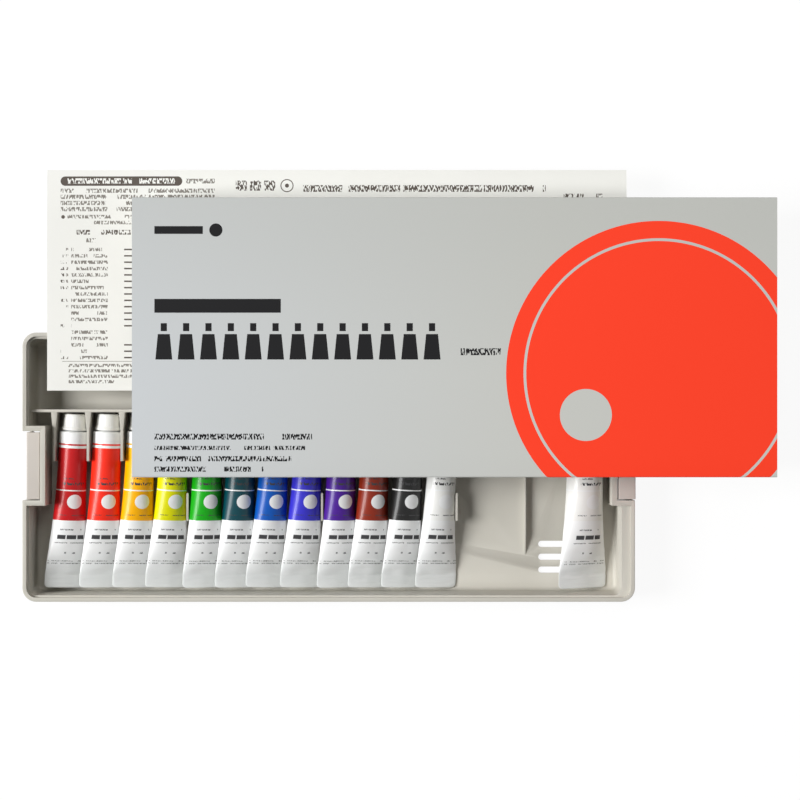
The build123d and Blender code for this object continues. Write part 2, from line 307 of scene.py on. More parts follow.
def grain_bump(tree, shader, size_mm, strength, depth_mm):
    """Bump from a noise on Object coordinates whose grain is size_mm wide."""
    place = add(tree, "ShaderNodeTexCoord").outputs["Object"]
    noise = add(
        tree, "ShaderNodeTexNoise", {"Vector": place, "Scale": 1 / (size_mm * MM), "Detail": 2.0}
    )
    bump = add(
        tree, "ShaderNodeBump",
        {"Strength": strength, "Distance": depth_mm * MM, "Height": noise.outputs[0]},
    )
    connect(tree, bump.outputs[0], shader, "Normal")


def moulded_styrene(name, code, dark_code):
    """Injection-moulded polystyrene, spark-eroded mould: a fine matte grain about 0.5 mm wide,
    drawn a little coarser than real so that it shows, and faint flow clouds in the colour."""
    material, shader = surface(name, {"Roughness": 0.48, "IOR": 1.55, "Specular IOR Level": 0.25})
    tree = material.node_tree
    place = add(tree, "ShaderNodeTexCoord").outputs["Object"]
    cloud = add(
        tree, "ShaderNodeTexNoise", {"Vector": place, "Scale": 1 / (FLOW_CLOUD * MM), "Detail": 3.0}
    ).outputs[0]
    level = add(
        tree, "ShaderNodeMapRange", {"Value": cloud, "From Min": 0.35, "From Max": 0.65}
    ).outputs[0]
    connect(tree, over(tree, level, linear(code), linear(dark_code)), shader, "Base Color")
    grain_bump(tree, shader, 0.5, 0.22, 0.05)
    return material


def satin_polypropylene():
    """Moulded white polypropylene caps: waxy and slightly glossy, with a faint orange peel."""
    material, shader = surface(
        "satin_polypropylene",
        {"Roughness": 0.34, "IOR": 1.49, "Specular IOR Level": 0.35,
         "Subsurface Weight": 0.08, "Subsurface Radius": (0.9, 0.8, 0.7),
         "Subsurface Scale": 1.0 * MM},
    )
    tree = material.node_tree
    place = add(tree, "ShaderNodeTexCoord").outputs["Object"]
    cloud = add(
        tree, "ShaderNodeTexNoise", {"Vector": place, "Scale": 1 / (WAX_CLOUD * MM), "Detail": 2.0}
    )
    tint = over(tree, cloud.outputs[0], linear("F5F5F2"), linear("E9E9E4"))
    connect(tree, tint, shader, "Base Color")
    grain_bump(tree, shader, 1.6, 0.10, 0.05)
    return material


def band_print(tree, radius, ink):
    """The tube's generic print, in millimetres round and along the tube: a colour band right
    round the barrel with a thin ring above it, a white spot and a white rule in it, three short
    marks under it, and greyed copy in the band and below it."""
    place, around, down = uv_places(tree, "wrap")
    girth = math.pi * radius + 1
    band = bar(tree, around, down, -girth, girth, *BAND)
    ring = bar(tree, around, down, -girth, girth, *BAND_RING)
    rule = bar(tree, around, down, -girth, girth, *BAND_RULE)
    band = joined(tree, "MAXIMUM", band, ring)
    band = joined(tree, "SUBTRACT", band, disc(tree, place, *BAND_SPOT), rule)
    colour = over(tree, band, linear(ink), linear("F4F5F5"))
    black = [
        bar(tree, around, down, left, right, *MARK_ROW)
        for left, right in ((-7.0, -2.7), (-2.1, 2.5), (3.1, 6.9))
    ]
    for box, pitch, height, word in (
        ((-8.2, 1.0, 26.4, 28.0), 1.6, 0.9, 3.0),
        ((-8.2, 6.5, 29.0, 31.6), 2.6, 1.7, 3.6),
        ((-9.5, 9.5, 48.6, 49.9), 1.3, 0.6, 2.6),
        ((-6.0, 6.0, 57.2, 58.8), 1.6, 0.8, 2.5),
        ((-8.0, 8.0, 65.4, 66.8), 1.4, 0.6, 2.2),
        ((-2.6, 2.6, 71.4, 73.0), 1.6, 1.0, 3.0),
        ((-11.5, 11.5, 76.5, 79.5), 1.5, 0.6, 2.4),
    ):
        seed = box[2] + (height - pitch) / 2
        black.append(greeked(tree, around, down, box, pitch, height, word, 0.36, seed))
    return over(tree, joined(tree, "MAXIMUM", *black), linear("3C3C3E"), colour)


def enamelled_foil(name, radius, ink):
    """Aluminium foil tube, white enamel rolled on and printed: satin gloss, a soft sheen coat,
    and cross creases about 2 mm apart where the foil was pressed flat for its crimp. The enamel
    is a little greyer there, by a product with a pale grey."""
    material, shader = surface(
        name,
        {"Roughness": 0.36, "IOR": 1.45, "Specular IOR Level": 0.25, "Coat Weight": 0.12,
         "Coat Roughness": 0.1},
    )
    tree = material.node_tree
    colour = band_print(tree, radius, ink)
    _, around, down = uv_places(tree, "wrap")
    # the enamel is multiplied by a pale grey towards the crimp, from 70 to 88 mm down from the
    # shoulder
    crimp_grey = add(
        tree, "ShaderNodeMapRange",
        {"Value": down, "From Min": 70.0, "From Max": 88.0, "To Min": 0.0, "To Max": 0.85},
    ).outputs[0]
    greyed = add(
        tree, "ShaderNodeMix", {0: crimp_grey, 6: colour, 7: linear("F4F7F7")},
        data_type="RGBA", blend_type="MULTIPLY",
    )
    connect(tree, greyed.outputs[2], shader, "Base Color")
    drawn = add(
        tree, "ShaderNodeMath", {0: around, 1: CREASE_DRAW}, operation="MULTIPLY"
    ).outputs[0]
    spot = add(tree, "ShaderNodeCombineXYZ", {0: drawn, 1: down})
    crease = add(
        tree, "ShaderNodeTexNoise",
        {"Vector": spot.outputs[0], "Scale": CREASES, "Detail": 2.0, "Roughness": 0.5},
    )
    where = add(
        tree, "ShaderNodeMapRange",
        {"Value": down, "From Min": 48.0, "From Max": 84.0, "To Min": 0.05, "To Max": 1.0},
    ).outputs[0]
    height = joined(tree, "MULTIPLY", crease.outputs[0], where)
    bump = add(
        tree, "ShaderNodeBump",
        {"Strength": 0.55, "Distance": 0.5 * MM, "Height": height},
    )
    connect(tree, bump.outputs[0], shader, "Normal")
    return material


def gouache_paint(name, ink):
    """Thick matte gouache inside a tube."""
    material, shader = surface(name, {"Base Color": linear(ink), "Roughness": 0.8})
    grain_bump(material.node_tree, shader, 0.8, 0.3, 0.1)
    return material


def tube_signs(tree, across, along, left, low, pitch, count, height):
    """Mask of a row of small tube signs: each a body that widens evenly to its foot with a
    narrow cap above it, repeated along the row by the fraction of the distance over the pitch.
    Widths are shares of the pitch, and the body's top and the cap's foot shares of the height."""
    foot_half, top_half = 0.38, 0.22
    cap_left, cap_right = 0.36, 0.64
    body_top, cap_foot = 0.7, 0.78
    steps = add(
        tree, "ShaderNodeMath",
        {0: across, 1: 1 / pitch, 2: -left / pitch}, operation="MULTIPLY_ADD",
    ).outputs[0]
    part = add(tree, "ShaderNodeMath", {0: steps}, operation="FRACT").outputs[0]
    row = bar(tree, across, along, left, left + pitch * count, low, low + height)
    half = add(
        tree, "ShaderNodeMapRange",
        {"Value": along, "From Min": low, "From Max": low + height,
         "To Min": foot_half, "To Max": top_half},
    ).outputs[0]
    within = add(tree, "ShaderNodeMath", {0: part, 1: 0.5, 2: half}, operation="COMPARE").outputs[0]
    trunk = bar(tree, across, along, left, left + pitch * count, low, low + height * body_top)
    cap = bar(tree, part, along, cap_left, cap_right, low + height * cap_foot, low + height)
    sign = joined(tree, "MAXIMUM", joined(tree, "MULTIPLY", within, trunk), cap)
    return joined(tree, "MULTIPLY", row, sign)


def printed_card():
    """Coated carton board, printed silver grey with a big red-orange disc and black signs, and
    varnished satin: a faint fibre texture, a painted reflection that takes the grey slowly from
    cool at the left to warm at the right, and a painted shade that darkens it towards the rear.
    Places are millimetres from the front left corner of the sleeve's top."""
    material, shader = surface(
        "printed_card",
        {"Roughness": 0.42, "IOR": 1.5, "Specular IOR Level": 0.14, "Coat Weight": 0.04,
         "Coat Roughness": 0.3},
    )
    tree = material.node_tree
    place, across, along = uv_places(tree, "sheet")
    # painted reflection: the grey goes from cool at the left to warm at the right over the first
    # 240 mm
    drift = add(
        tree, "ShaderNodeMapRange", {"Value": across, "From Min": 0.0, "From Max": 240.0}
    ).outputs[0]
    # painted shade: the grey darkens towards the sleeve's rear, from 60 to 165 mm, up to 0.55 of
    # the way to a darker grey
    rear = add(
        tree, "ShaderNodeMapRange",
        {"Value": along, "From Min": 60.0, "From Max": 165.0, "To Min": 0.0, "To Max": 0.55},
    ).outputs[0]
    ground = over(tree, drift, linear("C7C8C3"), linear("C6CACD"))
    ground = over(tree, rear, linear("B9BBB7"), ground)
    groove = joined(
        tree, "SUBTRACT",
        disc(tree, place, *RED_MIDDLE, GROOVE_RADIUS),
        disc(tree, place, *RED_MIDDLE, GROOVE_RADIUS - GROOVE_WIDTH),
    )
    red = joined(
        tree, "SUBTRACT",
        disc(tree, place, *RED_MIDDLE, RED_RADIUS), groove, disc(tree, place, 262.0, 36.0, 15.0),
    )
    colour = over(tree, red, linear("FF442A"), ground)
    black = [
        tube_signs(tree, across, along, 12.0, 68.0, 12.9, 13, 21.0),
        bar(tree, across, along, 13.0, 86.0, 95.0, 103.0),
        bar(tree, across, along, 13.0, 41.0, 140.5, 145.0),
        disc(tree, place, 48.5, 142.75, 3.8),
    ]
    for box, pitch, height, word in (
        ((183.0, 213.0, 70.0, 75.0), 5.0, 4.0, 14.0),
        ((13.0, 104.0, 21.0, 26.0), 5.0, 3.4, 16.0),
        ((13.0, 100.0, 15.0, 19.0), 4.0, 2.4, 12.0),
        ((13.0, 92.0, 8.5, 13.0), 4.5, 3.0, 12.0),
        ((13.0, 76.0, 2.5, 7.0), 4.5, 3.0, 12.0),
    ):
        black.append(greeked(tree, across, along, box, pitch, height, word, 0.34, 3.0))
    ink = joined(tree, "MAXIMUM", *black)
    connect(tree, over(tree, ink, linear("131315"), colour), shader, "Base Color")
    grain_bump(tree, shader, 0.7, 0.06, 0.04)
    return material


def white_board():
    """Unprinted back of carton board, and its cut edges: pale grey-white wood fibre, drawn out
    along the sleeve."""
    material, shader = surface("white_board", {"Roughness": 0.85})
    tree = material.node_tree
    place = add(tree, "ShaderNodeTexCoord").outputs["Object"]
    long, wide = 1 / (FIBRE_LENGTH * MM), 1 / (FIBRE_WIDTH * MM)
    stretched = add(
        tree, "ShaderNodeMapping", {"Vector": place, "Scale": (long, wide, wide)}
    ).outputs[0]
    fibre = add(
        tree, "ShaderNodeTexNoise", {"Vector": stretched, "Scale": 1.0, "Detail": 3.0}
    ).outputs[0]
    connect(tree, over(tree, fibre, linear("EDECE6"), linear("D9D7CF")), shader, "Base Color")
    grain_bump(tree, shader, 0.4, 0.25, 0.04)
    return material


def leaflet_paper():
    """Uncoated leaflet paper with one-colour print in warm grey: a round-ended title bar, blocks
    of greyed copy, and a list of paints with a mark before each line and a short rule after it.
    Places are millimetres from the leaflet's front left corner."""
    material, shader = surface(
        "leaflet_paper", {"Roughness": 0.75, "IOR": 1.45, "Specular IOR Level": 0.2}
    )
    tree = material.node_tree
    place, across, along = uv_places(tree, "sheet")
    cloud = add(
        tree, "ShaderNodeTexNoise", {"Vector": place, "Scale": 1 / PAPER_CLOUD, "Detail": 2.0}
    )
    paper = over(tree, cloud.outputs[0], linear("EDEDE9"), linear("E9E9E4"))
    title = greeked(tree, across, along, (12.0, 76.0, 122.6, 126.4), 3.8, 3.2, 7.0, 0.3, 2.2)
    title_bar = joined(
        tree, "MAXIMUM",
        bar(tree, across, along, 10.7, 77.4, 121.6, 127.2),
        disc(tree, place, 10.7, 124.4, 2.8),
        disc(tree, place, 77.4, 124.4, 2.8),
    )
    ring = joined(
        tree, "SUBTRACT",
        disc(tree, place, 142.4, 121.7, 3.9), disc(tree, place, 142.4, 121.7, 3.3),
    )
    dark = [
        joined(tree, "SUBTRACT", title_bar, title),
        disc(tree, place, 9.5, 103.1, 1.1),
        ring,
        disc(tree, place, 142.4, 121.7, 1.2),
    ]
    for box, pitch, height, word, fill in (
        ((112.0, 118.6, 118.2, 125.2), 7.0, 6.0, 9.0, 0.0),
        ((120.4, 127.0, 118.2, 125.2), 7.0, 6.0, 9.0, 0.0),
        ((128.8, 135.4, 118.2, 125.2), 7.0, 6.0, 9.0, 0.0),
        ((152.0, 296.0, 117.6, 122.4), 4.8, 4.0, 9.0, 0.30),
        ((306.0, 332.0, 112.6, 117.6), 5.0, 3.6, 4.0, 0.48),
        ((17.5, 100.0, 92.3, 95.7), 3.4, 2.8, 8.0, 0.30),
        ((8.0, 10.2, LIST_LOW, LIST_HIGH), LIST_PITCH, 1.7, 40.0, 0.42),
    ):
        dark.append(greeked(tree, across, along, box, pitch, height, word, fill, 1.7))
    rules = stripes(tree, along, LIST_LOW, LIST_PITCH, 0.9)[1]
    for first, last in RULED_LINES:
        low, high = LIST_LOW + first * LIST_PITCH, LIST_LOW + last * LIST_PITCH
        part = bar(tree, across, along, 45.7, 56.0, low, high)
        dark.append(joined(tree, "MULTIPLY", rules, part))
    fine = [bar(tree, across, along, 8.9, 100.0, 17.2, 17.5)]
    for box, pitch, height, word, fill in (
        ((82.5, 99.5, 122.6, 126.2), 3.6, 2.8, 12.0, 0.2),
        ((8.0, 99.5, 105.9, 120.5), 3.65, 2.5, 11.0, 0.30),
        ((11.8, 99.5, 98.0, 105.0), 3.5, 2.1, 12.0, 0.36),
        ((23.0, 29.0, 87.7, 90.7), 3.0, 2.4, 9.0, 0.1),
        ((11.2, 12.5, LIST_LOW, LIST_HIGH), LIST_PITCH, 1.7, 40.0, 0.40),
        ((14.3, 36.0, LIST_LOW, LIST_HIGH), LIST_PITCH, 2.0, 16.0, 0.38),
        ((12.5, 99.5, 3.7, 16.5), 3.2, 1.9, 12.0, 0.30),
    ):
        fine.append(greeked(tree, across, along, box, pitch, height, word, fill, 4.1))
    ink = over(tree, joined(tree, "MAXIMUM", *fine), linear("86827C"), paper)
    ink = over(tree, joined(tree, "MAXIMUM", *dark), linear("5C554F"), ink)
    connect(tree, ink, shader, "Base Color")
    grain_bump(tree, shader, 0.3, 0.18, 0.03)
    return material


# --------------------------------------------------------------------- shapes


def mesh_piece(name, body, vertices, faces, material):
    """Smooth object from an array of vertices (metres) and a list of faces, which rides on a
    CAD body."""
    mesh = bpy.data.meshes.new(name)
    mesh.from_pydata(vertices.tolist(), [], faces)
    mesh.materials.append(material)
    mesh.polygons.foreach_set("use_smooth", [True] * len(mesh.polygons))
    mesh.update()
    piece = bpy.data.objects.new(name, mesh)
    bpy.context.scene.collection.objects.link(piece)
    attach(piece, body)
    return piece


def ring_faces(rings, sides):
    """Quads between rings of points, each ring closed on itself."""
    row, col = np.meshgrid(np.arange(rings - 1), np.arange(sides), indexing="ij")
    nxt = (col + 1) % sides
    quads = np.stack(
        [row * sides + col, row * sides + nxt, (row + 1) * sides + nxt, (row + 1) * sides + col], -1
    )
    return quads.reshape(-1, 4)


def closed_faces(rings, sides):
    """Faces of a closed row of rings: quads between them and one face over each end."""
    faces = ring_faces(rings, sides).tolist()
    faces.append(list(range(sides))[::-1])
    faces.append(list(range((rings - 1) * sides, rings * sides)))
    return faces


def paint_uv(mesh, layer, values):
    """Write a UV layer from one (u, v) per corner."""
    made = mesh.uv_layers.new(name=layer)
    made.data.foreach_set("uv", np.asarray(values, float).ravel())


def tube_axes(number, roll):
    """Shoulder point and axes of a tube, from its cap's joint: Z runs to the cap, X along the
    width of the crimp, turned up at its left by the roll, and Y away from the print."""
    joint = next(j for j in frame["joints"] if j["name"] == f"cap_{number}_turn")
    axis = Vector(joint["axis"]).normalized()
    across = Vector((axis.y, -axis.x, 0)).normalized()
    upward = across.cross(axis)
    turn = math.radians(roll)
    width = across * math.cos(turn) - upward * math.sin(turn)
    back = axis.cross(width)
    return np.array(joint["pos_m"]), np.array([width, back, axis])


def placed(number, roll, x, y, z):
    """Points in a tube's own frame, in millimetres, put where the tube lies, in metres."""
    origin, axes = tube_axes(number, roll)
    return np.stack([x, y, z], -1).reshape(-1, 3) @ axes * MM + origin


def flattened(radius, half_high):
    """Half width of a barrel pressed to a half height, its girth kept."""
    quarter = math.pi / 2
    return radius * (quarter - (quarter - 1) * (half_high / radius) ** GIRTH_POWER)


def tube_rings(radius, inset):
    """Half width, half height and distance along the axis of the barrel's rings, from the end
    of the crimp to the shoulder. The half height falls as the distance's share to a power; the
    crimp is a little thicker than the foil that runs into it and its corners are round."""
    flat = FLAT_SHARE * TUBE_LENGTH
    down = np.concatenate(
        [np.linspace(TUBE_LENGTH, TUBE_LENGTH - CRIMP_CORNER, 7),
         np.linspace(TUBE_LENGTH - CRIMP_CORNER - 0.7, flat + 0.2, 5),
         np.linspace(flat - 0.3, 0, 56)]
    )
    share = np.clip(down / flat, 0, 1)
    half_high = radius + (CRIMP_HALF - radius) * share**PRESS
    half_wide = flattened(radius, half_high)
    pressed = np.maximum(half_high - FOLD_STEP * share**6, FOIL_LEAST)
    half_high = np.where(down > flat, CRIMP_HALF, pressed)
    corner = np.clip(CRIMP_CORNER - (TUBE_LENGTH - down), 0, CRIMP_CORNER)
    rounding = CRIMP_CORNER - np.sqrt(CRIMP_CORNER**2 - corner**2)
    half_wide = half_wide - rounding * CORNER_SHARE
    half_high[0] *= END_THIN
    return half_wide - inset, half_high - inset, -down


def tube_piece(number, radius, roll, material, seed):
    """Foil tube: elliptic rings from the crimp to the shoulder, the neck, the nozzle's bore and
    the inside back to the crimp. Shallow dents near the crimp are waves of the ring's height
    along and across it, fading out before the round part of the barrel. The print's layer is
    the distance round the barrel and down from the shoulder."""
    sides = 72
    random = np.random.default_rng(seed)
    wide, high, along = tube_rings(radius, 0.0)
    neck_top = SHOULDER_RISE + NECK_LENGTH
    top = np.array(
        [[radius, 0.25], [radius - 0.5, 0.62], [SHOULDER_LAND, SHOULDER_RISE],
         [NECK_RADIUS, SHOULDER_RISE + 0.2], [NECK_RADIUS, neck_top - 0.3],
         [NECK_RADIUS - 0.3, neck_top], [NOZZLE_RADIUS + 0.2, neck_top],
         [NOZZLE_RADIUS, neck_top - 0.2], [NOZZLE_RADIUS, 0.1]]
    )
    in_wide, in_high, in_along = tube_rings(radius, FOIL)
    keep = in_along >= -FLAT_SHARE * TUBE_LENGTH
    in_wide, in_high, in_along = (a[keep][::-1] for a in (in_wide, in_high, in_along))
    in_high = np.maximum(in_high, 0.1)
    wide = np.concatenate([wide, top[:, 0], in_wide])
    high = np.concatenate([high, top[:, 0], in_high])
    along = np.concatenate([along, top[:, 1], in_along])
    turn = np.linspace(0, 2 * math.pi, sides, endpoint=False) - math.pi / 2
    x = np.outer(wide, np.cos(turn))
    y = np.outer(high, np.sin(turn))
    z = np.repeat(along[:, None], sides, 1)
    share = np.clip(-along / (FLAT_SHARE * TUBE_LENGTH), 0, 1)
    fade = (np.clip((share - DENTS_FROM) / DENTS_RUN, 0, 1) * (share < 0.999))[:, None]
    phase = random.uniform(0, 2 * math.pi, 5)
    # depths in millimetres, waves in radians to the millimetre
    dent = (
        0.16 * np.sin(z * 0.55 + x * 0.10 + phase[0])
        + 0.12 * np.sin(z * 1.1 - x * 0.22 + phase[1])
        + 0.14 * np.sin(x * 0.42 + phase[2]) * np.sin(z * 0.21 + phase[3])
    )
    y = y + dent * fade * DENT_SHARE
    rings = len(wide)
    faces = closed_faces(rings, sides)
    points = placed(number, roll, x, y, z)
    piece = mesh_piece(f"tube_{number}_foil", f"tube_{number}", points, faces, material)
    girth = (turn + math.pi / 2) * radius
    girth = np.where(girth > math.pi * radius, girth - 2 * math.pi * radius, girth)
    corners = np.array([i for face in faces for i in face])
    starts = np.cumsum([0] + [len(f) for f in faces[:-1]])
    u = np.tile(girth, rings)[corners]
    v = np.repeat(-along, sides)[corners]
    owner = np.repeat(np.arange(len(faces)), [len(f) for f in faces])
    first = u[starts][owner]
    u = np.where(u - first > math.pi * radius, u - 2 * math.pi * radius, u)
    u = np.where(first - u > math.pi * radius, u + 2 * math.pi * radius, u)
    paint_uv(piece.data, "wrap", np.stack([u, v], -1))
    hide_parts(f"tube_{number}")
    return piece


def paint_piece(number, radius, roll, material):
    """Paint in a tube: the barrel's rings drawn in by a millimetre, from just under the
    shoulder to where the foil closes, with a bevelled end at the shoulder."""
    sides = 32
    wide, high, along = tube_rings(radius, PAINT_INSET)
    keep = (high > 0.3) & (along > -PAINT_SHARE * TUBE_LENGTH) & (along < -1.2)
    end_radius, end = radius - PAINT_INSET - 0.8, -0.8
    wide = np.append(wide[keep], end_radius)
    high = np.append(high[keep], end_radius)
    along = np.append(along[keep], end)
    turn = np.linspace(0, 2 * math.pi, sides, endpoint=False)
    x, y = np.outer(wide, np.cos(turn)), np.outer(high, np.sin(turn))
    z = np.repeat(along[:, None], sides, 1)
    points = placed(number, roll, x, y, z)
    faces = closed_faces(len(wide), sides)
    piece = mesh_piece(f"paint_{number}_fill", f"tube_{number}", points, faces, material)
    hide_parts(f"paint_{number}")
    return piece


def cap_piece(number, radius, top_radius, roll, material):
    """Screw cap turned from a profile, its skirt ribbed: between the base ring and the rim of
    the top the radius falls and rises again as a cosine round the cap, by twice the flutes'
    depth. The profile, as (radius, height), runs from the axis down the bore, round the base
    and up the outside to the axis again."""
    sides = 160
    profile = np.array(
        [(0.02, 7.8), (CAP_BORE - 0.4, 7.8), (CAP_BORE, 7.4),
         (CAP_BORE, 0.0), (radius - 0.35, 0.0), (radius, 0.3), (radius, 1.35),
         (radius - 0.28, 1.6), (radius - 0.42, 1.9), (radius - 0.62, 3.4),
         (top_radius + 0.38, 6.6), (top_radius + 0.12, 8.5), (top_radius, 9.0),
         (top_radius - 0.3, 9.5), (top_radius - 0.9, 9.8), (top_radius - 2.2, 9.8),
         (top_radius - 2.6, 9.62), (0.02, 9.62)]
    )
    ribs = np.interp(profile[:, 1], [1.6, 2.2, 8.2, 8.9], [0, 1, 1, 0])
    ribs = ribs * (profile[:, 0] > CAP_BORE + 0.5)
    turn = np.linspace(0, 2 * math.pi, sides, endpoint=False)
    flute = FLUTE_DEPTH * (np.cos(turn * FLUTES) - 1)
    reach = profile[:, :1] + ribs[:, None] * flute[None, :]
    x, y = reach * np.cos(turn), reach * np.sin(turn)
    z = np.repeat(profile[:, 1:] + SHOULDER_RISE + CAP_SEAT, sides, 1)
    points = placed(number, roll, x, y, z)
    faces = closed_faces(len(profile), sides)
    piece = mesh_piece(f"cap_{number}_ribbed", f"cap_{number}", points, faces, material)
    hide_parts(f"cap_{number}")
    return piece


def softened(node, body, material, width_mm=0.35, segments=2):
    """A moulded piece from its CAD node: the triangles are joined, flat ones dissolved into
    faces, and edges sharper than a set angle get a small rounding, as the mould leaves them."""
    work = bmesh.new()
    work.from_mesh(frame["nodes"][node].data)
    bmesh.ops.remove_doubles(work, verts=work.verts, dist=JOIN_WITHIN * MM)
    bmesh.ops.dissolve_limit(
        work, angle_limit=math.radians(FLAT_WITHIN), verts=work.verts, edges=work.edges
    )
    mesh = bpy.data.meshes.new(f"{node}_moulded")
    work.to_mesh(mesh)
    work.free()
    mesh.materials.clear()
    mesh.materials.append(material)
    mesh.polygons.foreach_set("use_smooth", [True] * len(mesh.polygons))
    piece = bpy.data.objects.new(f"{node}_moulded", mesh)
    bpy.context.scene.collection.objects.link(piece)
    bevel = piece.modifiers.new("edges", "BEVEL")
    bevel.width = width_mm * MM
    bevel.segments = segments
    bevel.limit_method = "ANGLE"
    bevel.angle_limit = math.radians(SHARP_EDGE)
    bevel.harden_normals = True
    bevel.use_clamp_overlap = True
    bevel.miter_outer = "MITER_ARC"
    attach(piece, body)
    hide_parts(node)
    return piece


def latch_piece(side, material):
    """Latch from its CAD node with well rounded edges. The right one's hook reaches further in:
    the points of its tip are moved across by a set distance."""
    piece = softened(f"latch_{side}", f"latch_{side}", material, 0.6, segments=3)
    count = len(piece.data.vertices)
    points = np.empty(count * 3)
    piece.data.vertices.foreach_get("co", points)
    points = points.reshape(-1, 3)
    tip = np.abs(points[:, 0]) < HOOK_TIP * MM
    points[tip, 0] -= np.sign(points[tip, 0]) * HOOK_REACH[side] * MM
    piece.data.vertices.foreach_set("co", points.ravel())
    piece.data.update()
    return piece


def grip_ribs(side, material):
    """Four half-round ribs across a latch's outer face, so that a thumb can pull it: round bars
    sunk into the face, tapered at their ends, and leant about the pin as the latch stands."""
    joint = next(j for j in frame["joints"] if j["name"] == f"latch_{side}_swing")
    pin = np.array(joint["pos_m"]) / MM
    outward = np.sign(pin[0])
    steps = 12
    taper = np.array([0.4, 0.8, 1.0, 1.0, 0.8, 0.4])
    ends = np.array([RIB_HALF, RIB_HALF - 0.3, RIB_HALF - 1.0])
    stations = np.concatenate([-ends, ends[::-1]])
    turn = np.linspace(0, 2 * math.pi, steps, endpoint=False)
    rise = RIB_LOW + RIB_PITCH * np.arange(RIBS)
    shape = (RIBS, len(stations), steps)
    reach = RIB_RADIUS * taper[None, :, None]
    out = np.broadcast_to(FACE_OUT - RIB_SUNK + reach * np.cos(turn), shape)
    up = rise[:, None, None] + reach * np.sin(turn)
    along = np.broadcast_to(stations[None, :, None] + LATCH_MIDDLE, shape)
    lean = math.radians(LATCH_LEAN[side])
    x = outward * (abs(pin[0]) + out * math.cos(lean) - up * math.sin(lean))
    z = pin[2] + out * math.sin(lean) + up * math.cos(lean)
    points = np.stack([x, along, z], -1).reshape(-1, 3) * MM
    one = closed_faces(len(stations), steps)
    size = len(stations) * steps
    faces = [[i + size * rib for i in face] for rib in range(RIBS) for face in one]
    if outward > 0:
        faces = [face[::-1] for face in faces]
    return mesh_piece(f"latch_{side}_ribs", f"latch_{side}", points, faces, material)


def fold_profile(width, height, radius):
    """Closed outline of a band of card, anticlockwise from the left end of the top panel, as
    (across, up) from its centre: straight panels joined by arcs at the folds."""
    arc_points, panel_spans = 5, 12
    share = np.linspace(0, 1, panel_spans + 1)[1:-1, None]
    half_wide, half_high = width / 2, height / 2
    arcs = []
    for side, level, start in ((-1, 1, 90), (-1, -1, 180), (1, -1, 270), (1, 1, 0)):
        centre = np.array([side * (half_wide - radius), level * (half_high - radius)])
        turn = np.radians(start + np.linspace(0, 90, arc_points))
        arcs.append(centre + radius * np.stack([np.cos(turn), np.sin(turn)], -1))
    points = []
    for arc, following in zip(arcs, arcs[1:] + arcs[:1]):
        points += [arc, arc[-1] + (following[0] - arc[-1]) * share]
    return np.concatenate(points)


def sleeve_piece(print_material, board_material):
    """Card sleeve: the outline of the band carried along its length on the outside and back on
    the inside, with the top panel bowed up a little, most at mid length (a product of parabolas).
    The print's layer is the top panel as it lies, with the other panels folded out round it."""
    low, high = (np.array(c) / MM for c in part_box("sleeve"))
    length, width, height = high - low
    stations = np.linspace(0, length, 25)
    outer = fold_profile(width, height, FOLD)
    inner = fold_profile(width - 2 * CARD, height - 2 * CARD, FOLD - CARD + 0.02)
    centre = (low + high) / 2
    rings = []
    for outline, order in ((outer, stations), (inner, stations[::-1])):
        for x in order:
            along = 4 * (x / length) * (1 - x / length)
            bow = SLEEVE_BOW * along * (1 - (outline[:, 0] / (width / 2)) ** 2)
            lift = bow * (outline[:, 1] > height / 2 - TOP_PANEL)
            rings.append(
                np.stack([np.full(len(outline), low[0] + x), centre[1] + outline[:, 0],
                          centre[2] + outline[:, 1] + lift], -1)
            )
    rings = np.array(rings)
    count, sides = rings.shape[:2]
    faces = ring_faces(count + 1, sides) % (count * sides)
    points = rings.reshape(-1, 3) * MM
    piece = mesh_piece("sleeve_card", "sleeve", points, faces.tolist(), print_material)
    piece.data.materials.append(board_material)
    inside = np.arange(len(faces)) // sides >= count // 2 - 1
    piece.data.polygons.foreach_set("material_index", inside.astype(np.int32))
    across = rings[..., 0] - low[0]
    y, z = rings[..., 1] - low[1], high[2] - rings[..., 2]
    drop = np.clip(z, 0, None)
    front, rear = y < FOLD + 0.01, y > width - FOLD - 0.01
    under = z > height - FOLD
    down = np.where(front, y - drop, np.where(rear, y + drop, y))
    down = np.where(under & ~front & ~rear, 2 * width + height + y, down)
    uv = np.stack([across, down], -1).reshape(-1, 2)
    paint_uv(piece.data, "sheet", uv[faces.ravel()])
    sharpen(piece, 50)
    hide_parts("sleeve")
    return piece


def sharpen(piece, angle):
    """Keep edges sharper than an angle crisp, so that flat panels shade flat."""
    work = bmesh.new()
    work.from_mesh(piece.data)
    for edge in work.edges:
        if edge.is_manifold and edge.calc_face_angle() > math.radians(angle):
            edge.smooth = False
    work.to_mesh(piece.data)
    work.free()


